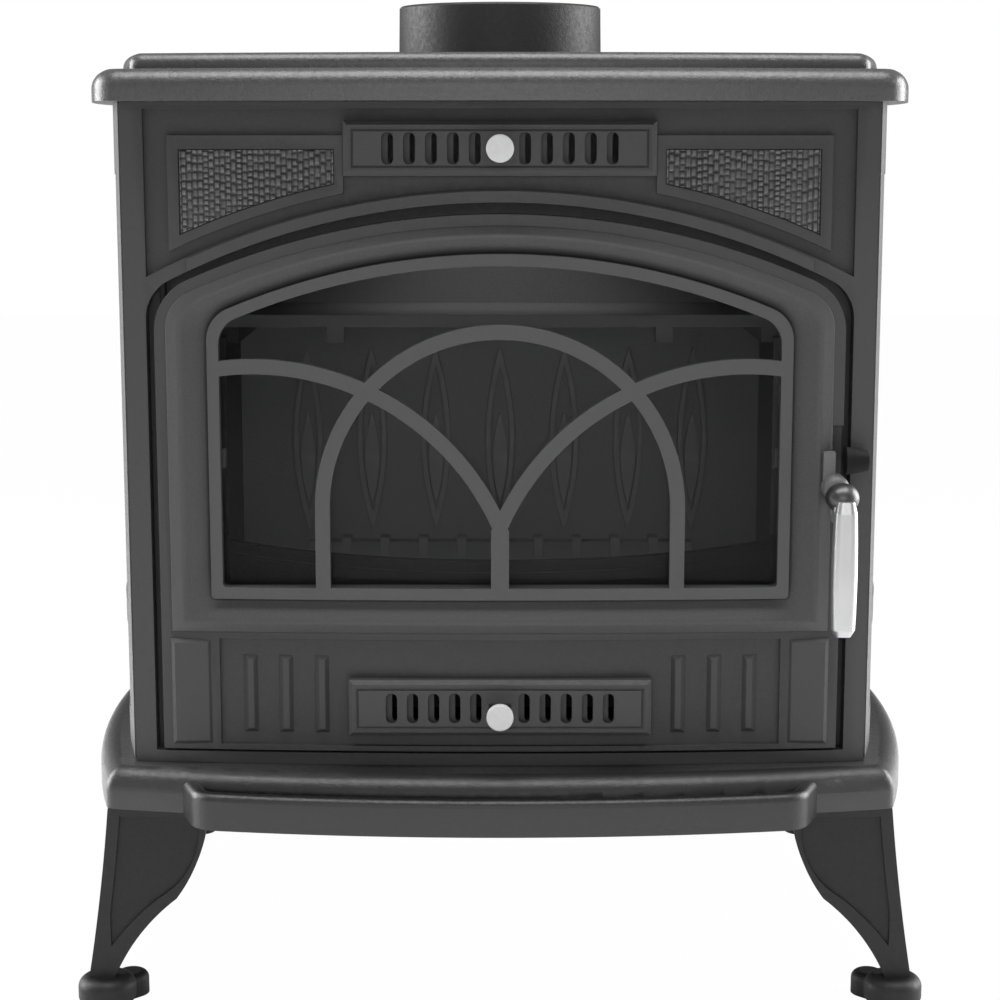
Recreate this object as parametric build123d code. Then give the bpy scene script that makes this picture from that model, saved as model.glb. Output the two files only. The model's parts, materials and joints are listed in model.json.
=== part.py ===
from build123d import *
import math
import os

# Cast iron room heater on four cabriole legs. Millimetres, +Z up, the viewer stands on the -Y side.
# The drawing frame has the front corners of the body at y = 0; the saved parts are shifted so that
# the middle of the overall depth is at y = 0.

# Heights
LEG_H = 148.0
BASE_T = 30.0
BODY_H = 473.0
TOP_T = 22.0
TIER_T = 11.0
COLLAR_RISE = 44.0

# Body plan
BODY_HALF_W = 264.5
BODY_D = 400.0
SIDE_SAG = 28.0
FRONT_R = 3000.0
PANEL_T = 8.0
FRAME_T = 10.0

# Top plate plan
TOP_OVERHANG = 12.5
TOP_FRONT_OUT = 20.0
TOP_SIDE_SAG = 28.0
TOP_FRONT_SAG = 28.0
TOP_BACK_OUT = 15.0
TOP_ROUND = 13.0
TOP_LAND = 9.0
TIER_INSET = 21.0
TOP_WALL = 10.0
TIER_ROUND = 8.5
CORNER_R = 22.0

# Base plate plan
BASE_OUT = 19.0
BASE_FRONT_SAG = 28.0
BASE_SIDE_SAG = 30.0
BASE_ROUND = 16.0
BASE_BACK_OUT = 10.0
BASE_DECK = 10.0
BASE_WALL = 12.0

# Ash lip
LIP_Z0 = 146.0
LIP_Z1 = 172.0
LIP_REACH = 33.0
LIP_FRONT_W = 214.0
LIP_BACK_W = 231.0
LIP_R = 1300.0
LIP_RIM = 12.0
LIP_FLOOR_T = 8.0

# Flue collar
FLUE_ID = 151.0
FLUE_BASE_OD = 162.0
FLUE_TOP_OD = 159.5
FLUE_Y = 240.0
FLUE_FLANGE_OD = 204.0
FLUE_FLANGE_T = 6.0
FLUE_BOLTS = 3
FLUE_BOLT_PCD = 183.0
BOLT_R = 3.0

# Door opening in the front frame
OPEN_HALF_W = 249.3
OPEN_BOTTOM = 187.0
OPEN_TOP = 582.0
OPEN_ARC_R = 521.0
OPEN_CORNER_R = 30.0
LEDGE_DEPTH = 14.0
LEDGE_T = 6.0
LEDGE_W = 20.0
BEAD_W = 8.0
BEAD_RISE = 3.0

# Upper field and spandrels of the front frame
FIELD_HALF_W = 248.4
FIELD_TOP = 646.0
FIELD_ARC_TOP = 591.0
FIELD_ARC_R = 534.0
FIELD_DEPTH = 5.0
SPANDREL_HALF_W = 232.0
SPANDREL_TOP = 628.0
SPANDREL_ARC_TOP = 599.0
SPANDREL_ARC_R = 550.0
SPANDREL_RISE = 4.0
INSET_HALF_W = 224.0
INSET_IN = 115.0
INSET_TOP = 618.5
INSET_ARC_TOP = 606.5
INSET_DEPTH = 2.5

# Air vents: the slotted plates and the sliders behind them
VENT_HALF_W = 108.5
UPPER_VENT_Z0 = 600.0
UPPER_VENT_Z1 = 638.0
LOWER_VENT_Z0 = 202.0
LOWER_VENT_Z1 = 243.0
VENT_RISE = 5.0
VENT_PLATE_T = 6.0
VENT_RIM = 6.0
VENT_CHANNEL = 5.0
VENT_BEVEL = 3.0
SLOT_W = 8.0
SLOT_H = 22.0
SLOT_PITCH = 15.1
SLOT_FIRST = 17.3
SLOTS_A_SIDE = 5
SLIDER_SLOT_W = 7.0
SLIDER_H = 24.0
SLIDER_HALF_W = 92.0
SLIDER_TRAVEL = 3.7
KNOB_R = 9.5
KNOB_T = 5.0
KNOB_STEM_R = 3.0
KNOB_REACH = 24.0

# Door
DOOR_HALF_W = 243.5
DOOR_BOTTOM = 189.0
DOOR_TOP = 574.0
DOOR_ARC_R = 545.0
DOOR_CORNER_R = 39.0
DOOR_PROUD = 2.0
DOOR_T = 12.0
WINDOW_HALF_W = 198.0
WINDOW_BOTTOM = 309.0
WINDOW_TOP = 538.0
WINDOW_ARC_R = 485.0
WINDOW_CORNER_R = 20.0
MOULD_HALF_W = 235.7
MOULD_BOTTOM = 276.0
MOULD_TOP = 566.0
MOULD_ARC_R = 537.0
MOULD_CORNER_R = 28.0
MOULD_RISE = 5.0
DOOR_PANEL_Z0 = 193.0
DOOR_PANEL_Z1 = 271.0
DOOR_PANEL_HALF_W = 201.5
DOOR_PANEL_DEPTH = 3.0
PILASTER_X0 = 206.9
PILASTER_X1 = 236.5
PILASTER_RISE = 2.8
BAR_XS = (179.4, 153.9, 128.0)
BAR_W = 10.4
BAR_Z0 = 202.0
BAR_Z1 = 259.0
BAR_RISE = 3.2
BLOCK_ROOT = 2.0

# Lattice over the window
LATTICE_T = 6.0
LATTICE_BORDER = 8.5
LATTICE_BAR = 10.7
LATTICE_POST = 12.9
BIG_ARCH_R = 126.0
BIG_ARCH_Z = 366.0
SIDE_ARC_X = 173.3
SIDE_ARC_Z = 278.9
SIDE_ARC_R = 188.4
CROTCH_Z = 352.0

# Glass and seals
GLASS_T = 4.0
GLASS_LAP = 14.0
GASKET_W = 8.0
GASKET_T = 1.4
ROPE_R = 3.5
ROPE_SUNK = 2.2
CLIP_T = 3.0
CLIP_L = 22.0
CLIP_W = 14.0
SEAT_GAP = 0.3

# Hinge and latch
HINGE_X = 237.0
PIN_R = 2.5
PIN_DEPTH = 5.0
RUN_GAP = 0.06
HINGE_LOWER_Z = (180.5, 203.0)
HINGE_UPPER_Z = (484.0, 532.0)
LATCH_X = 237.0
LATCH_Z = 382.0
HUB_R = 9.5
HUB_L = 18.0
SPINDLE_R = 5.0
BORE_WEB = 3.2
BORE_SPARE = 4.8
GRIP_W = 17.0
GRIP_T = 14.0
GRIP_Z0 = 280.0
GRIP_Z1 = 376.0
GRIP_BACK = 28.0
TAB_W = 8.6
TAB_TOP = 407.0
KEEPER_Z = 401.0
KEEPER_X0 = 244.0
KEEPER_X1 = 260.0
KEEPER_R0 = 10.0
KEEPER_R1 = 7.5
NOTCH_X = 232.0
NOTCH_Z0 = 385.0
NOTCH_Z1 = 425.0
NOTCH_WEB = 5.0

# Firebox
FLOOR_Z = 250.0
FLOOR_T = 12.0
FLOOR_HALF_W = 240.0
GRATE_HALF_W = 150.0
GRATE_Y = (80.0, 290.0)
GRATE_BARS = 13
GRATE_REBATE = 6.0
LINER_T = 9.0
LINER_Y0 = 30.0
SHELF_H = 12.0
LINER_TOP = 560.0
BACK_LINER_Y = 330.0
SIDE_LINER_X = 222.0
FIRE_FRONT_Y = 24.0
BAFFLE_Z = 477.0
BAFFLE_T = 10.0
BAFFLE_FRONT_Y = 200.0
RIB_PITCH = 55.0
RIB_PAIRS = 7
RIB_Z0 = 291.0
RIB_Z1 = 449.0
RIB_HALF_W = 12.0
GUARD_TOP = 320.0
GUARD_Y = 30.0
GUARD_SAG = 86.0
GUARD_HALF_W = 208.0
GUARD_T = 9.0

# Ash pan
PAN_Z0 = 208.0
PAN_H = 40.0
PAN_HALF_W = 150.0
PAN_Y0 = 40.0
PAN_D = 250.0
PAN_WALL = 2.0
PAN_TRAVEL = 14.0

# Ash box walls, tie rods
WALL_T = 6.0
RAIL_W = 8.0
ROD_R = 4.0
ROD_X = 246.0
ROD_Y = (32.0, 380.0)
NUT_R = 8.0
NUT_T = 7.0

# Legs
LEG_W = 71.0
LEG_PLATE = 9.0
LUG_T = 8.0
LEG_BOLT_IN = 36.0
LEG_RIM = 6.0
FOOT_SPLAY = 17.0
LEG_FLANK_SPLAY = 4.0
FOOT_H = 20.0
PAD_R = 21.0
PAD_OUT = 5.0
PAD_BACK = 6.0
TOE_L = 46.0

BASE_TOP = LEG_H + BASE_T
BODY_TOP = BASE_TOP + BODY_H
FRONT_SAG = FRONT_R - math.sqrt(FRONT_R ** 2 - BODY_HALF_W ** 2)
TIER_TOP = BODY_TOP + TOP_T + TIER_T
SLIDER_T = VENT_CHANNEL - 2 * SEAT_GAP
BACK_Y = BODY_D + TOP_BACK_OUT
REAR_LEG_Y = BODY_D + BASE_BACK_OUT - BASE_OUT
REAR_PAD_Y = REAR_LEG_Y + BASE_OUT - PAD_BACK + PAD_R
LIP_FRONT_Y = -(BASE_OUT + BASE_FRONT_SAG + LIP_REACH)
DATUM_Y = (LIP_FRONT_Y + REAR_PAD_Y) / 2


def front_y(x, back=0.0):
    """Height of the bowed front at x, moved back by an offset."""
    return FRONT_R - FRONT_SAG - math.sqrt((FRONT_R - back) ** 2 - x ** 2)


VENT_DEPTH = VENT_PLATE_T + VENT_CHANNEL
UPPER_VENT_Y = front_y(VENT_HALF_W, FIELD_DEPTH) - VENT_DEPTH
LOWER_VENT_Y = front_y(VENT_HALF_W, DOOR_PANEL_DEPTH - DOOR_PROUD) - VENT_DEPTH
HINGE_Y = front_y(DOOR_HALF_W, PIN_DEPTH - DOOR_PROUD)
HUB_FACE = front_y(LATCH_X, -DOOR_PROUD)
GLASS_Y = front_y(0, DOOR_T - DOOR_PROUD) + 4.0
BORE_END = front_y(LATCH_X, DOOR_T - DOOR_PROUD) - BORE_WEB
SPINDLE_END = BORE_END - BORE_SPARE
LEG_BOLT_X = BODY_HALF_W + BASE_OUT - LEG_BOLT_IN
LEG_BOLT_Y = (-BASE_OUT + LEG_BOLT_IN, REAR_LEG_Y + BASE_OUT - LEG_BOLT_IN)


def save(shape, node):
    """Write one part in the saved frame."""
    export_step(Pos(0, -DATUM_Y, 0) * shape, f"parts/{node}.step")


def box(x0, x1, y0, y1, z0, z1):
    """A block between two corners."""
    return Pos((x0 + x1) / 2, (y0 + y1) / 2, (z0 + z1) / 2) * Box(x1 - x0, y1 - y0, z1 - z0)


def rod(x, y, z, radius, length, axis="Z"):
    """A round bar centred on a point, along an axis."""
    turn = {"X": Rot(0, 90, 0), "Y": Rot(90, 0, 0), "Z": Rot(0, 0, 0)}[axis]
    return Pos(x, y, z) * turn * Cylinder(radius, length)


def mirror_x(shape):
    return mirror(shape, about=Plane.YZ)


def both_sides(shape):
    return [shape, mirror_x(shape)]


def group(shapes):
    """Separate solids that share one part."""
    return Compound([solid for shape in shapes for solid in shape.solids()])


def join(shapes):
    first, *rest = shapes
    return first.fuse(*rest) if rest else first


def front_slab(front, back, half_w, z0, z1):
    """The slab between two offsets of the bowed front."""
    plan = Wire([
        ThreePointArc((-half_w, front_y(half_w, front)), (0, front_y(0, front)), (half_w, front_y(half_w, front))),
        Line((half_w, front_y(half_w, front)), (half_w, front_y(half_w, back))),
        ThreePointArc((half_w, front_y(half_w, back)), (0, front_y(0, back)), (-half_w, front_y(half_w, back))),
        Line((-half_w, front_y(half_w, back)), (-half_w, front_y(half_w, front))),
    ])
    return Pos(0, 0, z0) * extrude(make_face(plan), z1 - z0, dir=(0, 0, 1))


def upright(wires_or_face, y0, y1, taper=0.0):
    """Stand a face drawn in x and z upright and give it depth from y0 back to y1."""
    face = Pos(0, y0, 0) * Rot(90, 0, 0) * wires_or_face
    return extrude(face, y1 - y0, dir=(0, 1, 0), taper=taper)


def arched(half_w, bottom, top, arc_r, corner_r, foot_r=0.0):
    """Outline of an opening with an arched head and rounded shoulders."""
    centre = top - arc_r
    spring = centre + math.sqrt(arc_r ** 2 - half_w ** 2)
    edges = Wire([
        Line((-half_w, bottom), (half_w, bottom)),
        Line((half_w, bottom), (half_w, spring)),
        ThreePointArc((half_w, spring), (0, top), (-half_w, spring)),
        Line((-half_w, spring), (-half_w, bottom)),
    ])
    face = make_face(edges)
    shoulders = [v for v in face.vertices() if v.Y > bottom + 1]
    face = fillet(shoulders, corner_r)
    if foot_r:
        feet = [v for v in face.vertices() if v.Y < bottom + 0.5]
        face = fillet(feet, foot_r)
    return face


def spandrel(half_w, inner_x, top, arc_top, arc_r):
    """Outline of one spandrel, left of the vent, above an arch."""
    def arc_z(x):
        return arc_top - arc_r + math.sqrt(arc_r ** 2 - x ** 2)
    middle = (half_w + inner_x) / 2
    return make_face(Wire([
        Line((-half_w, arc_z(half_w)), (-half_w, top)),
        Line((-half_w, top), (-inner_x, top)),
        Line((-inner_x, top), (-inner_x, arc_z(inner_x))),
        ThreePointArc((-inner_x, arc_z(inner_x)), (-middle, arc_z(middle)), (-half_w, arc_z(half_w))),
    ]))


def rect(half_w, z0, z1):
    return Pos(0, (z0 + z1) / 2) * make_face(Rectangle(2 * half_w, z1 - z0).wire())


def relief(face, front, back, taper=0.0):
    """A raised or sunk prism whose front follows the bowed face."""
    reach = FRONT_SAG + 20
    prism = upright(face, -reach, reach)
    size = face.bounding_box()
    slab = front_slab(front, back, BODY_HALF_W + 10, size.min.Y - 5, size.max.Y + 5)
    return prism & slab


def plan(half_w, front, back, front_sag, side_sag, corner_r):
    """Plan of a plate with bowed front and sides and rounded corners."""
    face = make_face(Wire([
        ThreePointArc((-half_w, front), (0, front - front_sag), (half_w, front)),
        ThreePointArc((half_w, front), (half_w + side_sag, (front + back) / 2), (half_w, back)),
        Line((half_w, back), (-half_w, back)),
        ThreePointArc((-half_w, back), (-half_w - side_sag, (front + back) / 2), (-half_w, front)),
    ]))
    return fillet(face.vertices(), corner_r) if corner_r else face


def plate(face, z0, thickness):
    return Pos(0, 0, z0) * extrude(face, thickness, dir=(0, 0, 1))


def round_rim(solid, z, radius):
    """Round the edges that lie at one height."""
    rim = [e for e in solid.edges() if abs(e.center().Z - z) < 0.01 and abs(e.bounding_box().size.Z) < 0.01]
    return fillet(rim, radius)


def body_plan(inset=0.0):
    """Plan of the body, for the bowed side walls."""
    return plan(BODY_HALF_W - inset, 0, BODY_D, FRONT_SAG, SIDE_SAG, 0)


def slot_row(z0, z1, width, y0, y1, shift=0.0):
    """The row of tall rounded air slots, both sides of the knob."""
    middle = (z0 + z1) / 2
    slots = []
    for k in range(SLOTS_A_SIDE):
        for side in (-1, 1):
            x = side * (SLOT_FIRST + k * SLOT_PITCH) + shift
            face = Pos(x, middle) * make_face(SlotOverall(SLOT_H, width, rotation=90).wire())
            slots.append(upright(face, y0, y1))
    return slots


def vent_plate(z0, z1, front):
    """Bevelled slotted plate on a rim, with the channel for its slider behind it."""
    back = front + VENT_PLATE_T + VENT_CHANNEL
    body = upright(rect(VENT_HALF_W, z0, z1), front, back)
    face_edges = body.faces().sort_by(Axis.Y)[0].edges()
    body = chamfer(face_edges, VENT_BEVEL)
    line = upright(rect(VENT_HALF_W - VENT_RIM, z0 + VENT_RIM, z1 - VENT_RIM), front, front + 1.0)
    inner = upright(rect(VENT_HALF_W - VENT_RIM - 1.2, z0 + VENT_RIM + 1.2, z1 - VENT_RIM - 1.2), front, front + 1.0)
    middle = (z0 + z1) / 2
    channel = box(-VENT_HALF_W + VENT_RIM, VENT_HALF_W - VENT_RIM, front + VENT_PLATE_T, back,
                  middle - SLIDER_H / 2 - SEAT_GAP, middle + SLIDER_H / 2 + SEAT_GAP)
    stem_way = box(-SLIDER_TRAVEL - KNOB_STEM_R - 1, SLIDER_TRAVEL + KNOB_STEM_R + 1, front - 1, back,
                   middle - KNOB_STEM_R - 0.5, middle + KNOB_STEM_R + 0.5)
    return body.cut(line - inner, channel, stem_way, *slot_row(z0, z1, SLOT_W, front - 1, back + 1))


def air_slider(z0, z1, front):
    """Slotted strip that covers the vent's slots by moving sideways, half open at rest."""
    middle = (z0 + z1) / 2
    y0 = front + VENT_PLATE_T + SEAT_GAP
    strip = box(-SLIDER_HALF_W, SLIDER_HALF_W, y0, y0 + SLIDER_T, middle - SLIDER_H / 2, middle + SLIDER_H / 2)
    slots = slot_row(z0, z1, SLIDER_SLOT_W, y0 - 1, y0 + SLIDER_T + 1, shift=SLIDER_TRAVEL)
    return strip.cut(*slots)


def air_knob(z0, z1, front):
    """Turned knob on a stem that stands on the slider."""
    middle = (z0 + z1) / 2
    face = front + VENT_PLATE_T + SEAT_GAP
    tip = front - KNOB_REACH
    stem = rod(0, (tip + face) / 2, middle, KNOB_STEM_R, face - tip, "Y")
    disc = rod(0, tip, middle, KNOB_R, KNOB_T, "Y")
    disc = chamfer(disc.edges().filter_by(GeomType.CIRCLE), 0.8)
    collar = rod(0, tip + KNOB_T, middle, KNOB_STEM_R + 2.5, KNOB_T, "Y")
    return join([stem, disc, collar])


def leg_blade(root, width, foot):
    """Cabriole outline of one leg plate, from its outer edge inwards, drawn upright."""
    top, ankle = LEG_H, FOOT_H
    return make_face(Wire([
        Line((root, top), (root - width, top)),
        Line((root - width, top), (root - width, top - 14)),
        ThreePointArc((root - width, top - 14), (root - width * 0.9, top - 40), (root - width * 0.68, top - 68)),
        ThreePointArc((root - width * 0.68, top - 68), (root - width * 0.3, top - 95), (root - 2, ankle)),
        Line((root - 2, ankle), (root + foot, ankle)),
        ThreePointArc((root + foot, ankle), (root + foot * 0.52, top - 76), (root, top)),
    ]))


def leg(side, end):
    """Cabriole leg: two blades at a corner on a rounded pad. side -1 left, end -1 front."""
    knee = BODY_HALF_W + BASE_OUT
    face_y = -BASE_OUT
    blade = leg_blade(knee, LEG_W, FOOT_SPLAY)
    front = upright(blade, face_y, face_y + LEG_PLATE)
    rim = LEG_RIM
    sunk = make_face(Wire([
        Line((knee - rim, LEG_H - rim), (knee - LEG_W + rim, LEG_H - rim)),
        ThreePointArc((knee - LEG_W + rim, LEG_H - rim), (knee - 53, 96), (knee - 36, 81)),
        ThreePointArc((knee - 36, 81), (knee - 15, 62), (knee, 44)),
        ThreePointArc((knee, 44), (knee - 0.5, 90), (knee - rim, LEG_H - rim)),
    ]))
    front = front - upright(sunk, face_y - 1, face_y + 2.0)
    flank = mirror(Plane.YZ * leg_blade(0, LEG_W, LEG_FLANK_SPLAY), about=Plane.XZ)
    flank = Pos(0, face_y, 0) * extrude(flank, knee + FOOT_SPLAY + 5, dir=(1, 0, 0))
    slope = upright(blade, face_y, face_y + LEG_W)
    flank = flank & (slope - Pos(-LEG_PLATE, 0, 0) * slope)
    lug = box(knee - 48, knee - LEG_PLATE + 1, face_y + LEG_PLATE - 1, face_y + 48, LEG_H - LUG_T, LEG_H)
    pad = Pos(knee + PAD_OUT, face_y + PAD_BACK, FOOT_H / 2) * Cylinder(PAD_R, FOOT_H)
    pad = fillet(pad.edges().filter_by(GeomType.CIRCLE).sort_by(Axis.Z)[-1], 8)
    pad = fillet(pad.edges().filter_by(GeomType.CIRCLE).sort_by(Axis.Z)[0], 5)
    toe = plate(SlotOverall(TOE_L, 2 * PAD_R * 0.6), 0, FOOT_H * 0.85)
    toe = fillet(toe.edges().group_by(Axis.Z)[-1], 6)
    tail = Pos(knee - 3, face_y + 15, 0) * Rot(0, 0, 135) * toe
    shape = join([front, flank, lug, pad, tail])
    if end > 0:
        shape = Pos(0, REAR_LEG_Y, 0) * mirror(shape, about=Plane.XZ)
    return shape if side > 0 else mirror_x(shape)


def base_plate():
    outline = plan(BODY_HALF_W + BASE_OUT, -BASE_OUT, BODY_D + BASE_BACK_OUT, BASE_FRONT_SAG, BASE_SIDE_SAG, 8)
    solid = round_rim(plate(outline, LEG_H, BASE_T), BASE_TOP, BASE_ROUND)
    hollow = box(-BODY_HALF_W + 60, BODY_HALF_W - 60, BASE_WALL, BODY_D - BASE_WALL, LEG_H, BASE_TOP - BASE_DECK)
    flank = box(-BODY_HALF_W - 8, -BODY_HALF_W + 50, 70, BODY_D - 70, LEG_H, BASE_TOP - BASE_DECK)
    holes = [rod(x, y, BASE_TOP - BASE_T / 2, ROD_R + SEAT_GAP, BASE_T) for x in (-ROD_X, ROD_X) for y in ROD_Y]
    sinks = [rod(x, y, LEG_H, NUT_R + 1, 2 * (BASE_T - BASE_DECK)) for x in (-ROD_X, ROD_X) for y in ROD_Y]
    return solid.cut(hollow, *both_sides(flank), *holes, *sinks)


def ash_lip():
    """Shelf in front of the base with a rounded rim round a sunk trough."""
    back = -BASE_OUT - 0.01
    front = LIP_FRONT_Y
    corner_y = front + LIP_R - math.sqrt(LIP_R ** 2 - LIP_FRONT_W ** 2)
    outline = make_face(Wire([
        ThreePointArc((-LIP_FRONT_W, corner_y), (0, front), (LIP_FRONT_W, corner_y)),
        Line((LIP_FRONT_W, corner_y), (LIP_BACK_W, back)),
        Line((LIP_BACK_W, back), (-LIP_BACK_W, back)),
        Line((-LIP_BACK_W, back), (-LIP_FRONT_W, corner_y)),
    ]))
    outline = fillet([v for v in outline.vertices() if v.Y < back - 1], CORNER_R)
    solid = plate(outline, LIP_Z0, LIP_Z1 - LIP_Z0)
    trough = plate(offset(outline, amount=-LIP_RIM), LIP_Z0 + LIP_FLOOR_T, LIP_Z1)
    trough = trough + Pos(0, LIP_RIM + 1, 0) * trough
    solid = solid - trough
    rim = [e for e in solid.edges() if abs(e.center().Z - LIP_Z1) < 0.01 and e.bounding_box().min.Y < back - 8]
    solid = fillet(rim, LIP_RIM / 2 - 0.6)
    plate_edge = plan(BODY_HALF_W + BASE_OUT, -BASE_OUT, BODY_D, BASE_FRONT_SAG, BASE_SIDE_SAG, 8)
    return solid - plate(plate_edge, LIP_Z0 - 1, BASE_T + 10)


def front_frame():
    """Front casting: arched door opening with a seal ledge, sunk upper field with two spandrels."""
    opening = arched(OPEN_HALF_W, OPEN_BOTTOM, OPEN_TOP, OPEN_ARC_R, OPEN_CORNER_R)
    throat = arched(OPEN_HALF_W - LEDGE_W, OPEN_BOTTOM + LEDGE_W, OPEN_TOP - LEDGE_W,
                    OPEN_ARC_R - LEDGE_W, OPEN_CORNER_R - LEDGE_W / 2)
    wall = arched(OPEN_HALF_W + 7, BASE_TOP + 0.01, OPEN_TOP + 7, OPEN_ARC_R + 7, OPEN_CORNER_R + 7)
    solid = relief(rect(BODY_HALF_W, BASE_TOP, BODY_TOP), 0, FRAME_T)
    solid = solid + relief(wall, FRAME_T - 1, LEDGE_DEPTH + LEDGE_T)
    field_arc = FIELD_ARC_TOP - FIELD_ARC_R
    field_shoulder = field_arc + math.sqrt(FIELD_ARC_R ** 2 - FIELD_HALF_W ** 2)
    field = make_face(Wire([
        Line((-FIELD_HALF_W, field_shoulder), (-FIELD_HALF_W, FIELD_TOP)),
        Line((-FIELD_HALF_W, FIELD_TOP), (FIELD_HALF_W, FIELD_TOP)),
        Line((FIELD_HALF_W, FIELD_TOP), (FIELD_HALF_W, field_shoulder)),
        ThreePointArc((FIELD_HALF_W, field_shoulder), (0, FIELD_ARC_TOP), (-FIELD_HALF_W, field_shoulder)),
    ]))
    solid = solid - relief(field, -5, FIELD_DEPTH)
    outer = spandrel(SPANDREL_HALF_W, VENT_HALF_W + SEAT_GAP, SPANDREL_TOP, SPANDREL_ARC_TOP, SPANDREL_ARC_R)
    inner = spandrel(INSET_HALF_W, INSET_IN, INSET_TOP, INSET_ARC_TOP, SPANDREL_ARC_R)
    top = FIELD_DEPTH - SPANDREL_RISE
    raised = relief(outer, top, FIELD_DEPTH) - relief(inner, top - 1, top + INSET_DEPTH)
    solid = solid.fuse(*both_sides(raised))
    bead = arched(OPEN_HALF_W, OPEN_BOTTOM, OPEN_TOP + BEAD_W, OPEN_ARC_R + BEAD_W, OPEN_CORNER_R)
    bead = bead & rect(OPEN_HALF_W - OPEN_CORNER_R, OPEN_TOP - 70, OPEN_TOP + BEAD_W)
    solid = solid + relief(bead, -BEAD_RISE, 1)
    solid = solid.cut(relief(opening, -10, LEDGE_DEPTH), relief(throat, -10, 40))
    middle = (UPPER_VENT_Z0 + UPPER_VENT_Z1) / 2
    pocket = box(-VENT_HALF_W, VENT_HALF_W, -40, UPPER_VENT_Y + VENT_DEPTH, UPPER_VENT_Z0, UPPER_VENT_Z1)
    air = box(-SLIDER_HALF_W + 6, SLIDER_HALF_W - 6, -40, 40, middle - SLOT_H / 2, middle + SLOT_H / 2)
    low, high = HINGE_LOWER_Z[0], HINGE_UPPER_Z[1]
    pin_way = rod(-HINGE_X, HINGE_Y, (low + high) / 2, PIN_R + RUN_GAP, high - low)
    boss = box(-HINGE_X - 7, -HINGE_X + 7, HINGE_Y, HINGE_Y + 8, OPEN_TOP - 80, high + 2)
    boss = boss - relief(opening, -10, LEDGE_DEPTH)
    return (solid + boss).cut(pocket, air, pin_way)


def side_panel():
    """Right side wall, bowed, with a sunk field."""
    ends = box(0, 400, FRAME_T + SEAT_GAP, BODY_D - PANEL_T, BASE_TOP, BODY_TOP)
    outer = plate(body_plan(), BASE_TOP, BODY_H)
    wall = (outer - plate(body_plan(PANEL_T), BASE_TOP, BODY_H)) & ends
    skin = outer - plate(body_plan(3.0), BASE_TOP, BODY_H)
    fields = [box(0, 400, 45, BODY_D - 45, z0, z1) for z0, z1 in ((205, 270), (290, 600))]
    cuts = [skin & f for f in fields]
    return wall.cut(*cuts)


def back_panel():
    ribs = [box(x - 3, x + 3, BODY_D - 1, BODY_D + 4, BASE_TOP + 40, BODY_TOP - 40) for x in (-160, -80, 0, 80, 160)]
    wall = box(-BODY_HALF_W, BODY_HALF_W, BODY_D - PANEL_T, BODY_D, BASE_TOP, BODY_TOP)
    return wall.fuse(*ribs)


def top_plate():
    """Stepped top plate with the hole that the flue collar comes up through."""
    half_w = BODY_HALF_W + TOP_OVERHANG
    low = plan(half_w, -TOP_FRONT_OUT, BACK_Y, TOP_FRONT_SAG, TOP_SIDE_SAG, CORNER_R)
    high = plan(half_w - TIER_INSET, -TOP_FRONT_OUT + TIER_INSET, BACK_Y - TIER_INSET, TOP_FRONT_SAG,
                TOP_SIDE_SAG, CORNER_R / 2)
    lower = round_rim(plate(low, BODY_TOP, TOP_T), BODY_TOP + TOP_T, TOP_ROUND)
    upper = round_rim(plate(high, BODY_TOP + TOP_T - 1, TIER_T + 1), TIER_TOP, TIER_ROUND)
    hole = rod(0, FLUE_Y, TIER_TOP, FLUE_BASE_OD / 2 + SEAT_GAP, 100)
    rod_holes = [rod(x, y, BODY_TOP, ROD_R + SEAT_GAP, TOP_T) for x in (-ROD_X, ROD_X) for y in ROD_Y]
    bolt_holes = [rod(x, y, BODY_TOP, BOLT_R + SEAT_GAP, TOP_T) for x, y in flue_bolt_places()]
    keep = rod(0, FLUE_Y, BODY_TOP, FLUE_FLANGE_OD / 2 + TOP_WALL, 4 * TOP_T)
    under = box(-BODY_HALF_W + 40, BODY_HALF_W - 40, 30, BODY_D - 30, BODY_TOP, TIER_TOP - TOP_WALL) - keep
    return (lower + upper).cut(hole, under, *rod_holes, *bolt_holes)


def flue_bolt_places():
    turns = [2 * math.pi * k / FLUE_BOLTS + math.pi / 2 for k in range(FLUE_BOLTS)]
    return [(FLUE_BOLT_PCD / 2 * math.cos(a), FLUE_Y + FLUE_BOLT_PCD / 2 * math.sin(a)) for a in turns]


def flue_collar():
    """Tapered socket for the flue pipe, flanged against the underside of the top plate."""
    low = BODY_TOP - FLUE_FLANGE_T
    height = TIER_TOP + COLLAR_RISE - low
    socket = Pos(0, FLUE_Y, low + height / 2) * Cone(FLUE_BASE_OD / 2, FLUE_TOP_OD / 2, height)
    socket = chamfer(socket.edges().filter_by(GeomType.CIRCLE).sort_by(Axis.Z)[-1], 1.5)
    flange = rod(0, FLUE_Y, low + FLUE_FLANGE_T / 2, FLUE_FLANGE_OD / 2, FLUE_FLANGE_T)
    bore = rod(0, FLUE_Y, low + height / 2, FLUE_ID / 2, height + 10)
    holes = [rod(x, y, low, BOLT_R + SEAT_GAP, 4 * FLUE_FLANGE_T) for x, y in flue_bolt_places()]
    return (socket + flange).cut(bore, *holes)


def collar_bolts():
    low = BODY_TOP - FLUE_FLANGE_T
    heads = [rod(x, y, low - 2, 2 * BOLT_R, 4) + rod(x, y, low + 6, BOLT_R, 12) for x, y in flue_bolt_places()]
    return group(heads)


def window(grow=0.0, foot_r=3.0):
    """Window outline, grown all round."""
    return arched(WINDOW_HALF_W + grow, WINDOW_BOTTOM - grow, WINDOW_TOP + grow, WINDOW_ARC_R + grow,
                  WINDOW_CORNER_R + grow / 2, foot_r)


def door_outline(inset=0.0):
    return arched(DOOR_HALF_W - inset, DOOR_BOTTOM + inset, DOOR_TOP - inset, DOOR_ARC_R - inset,
                  DOOR_CORNER_R - inset / 2)


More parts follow.
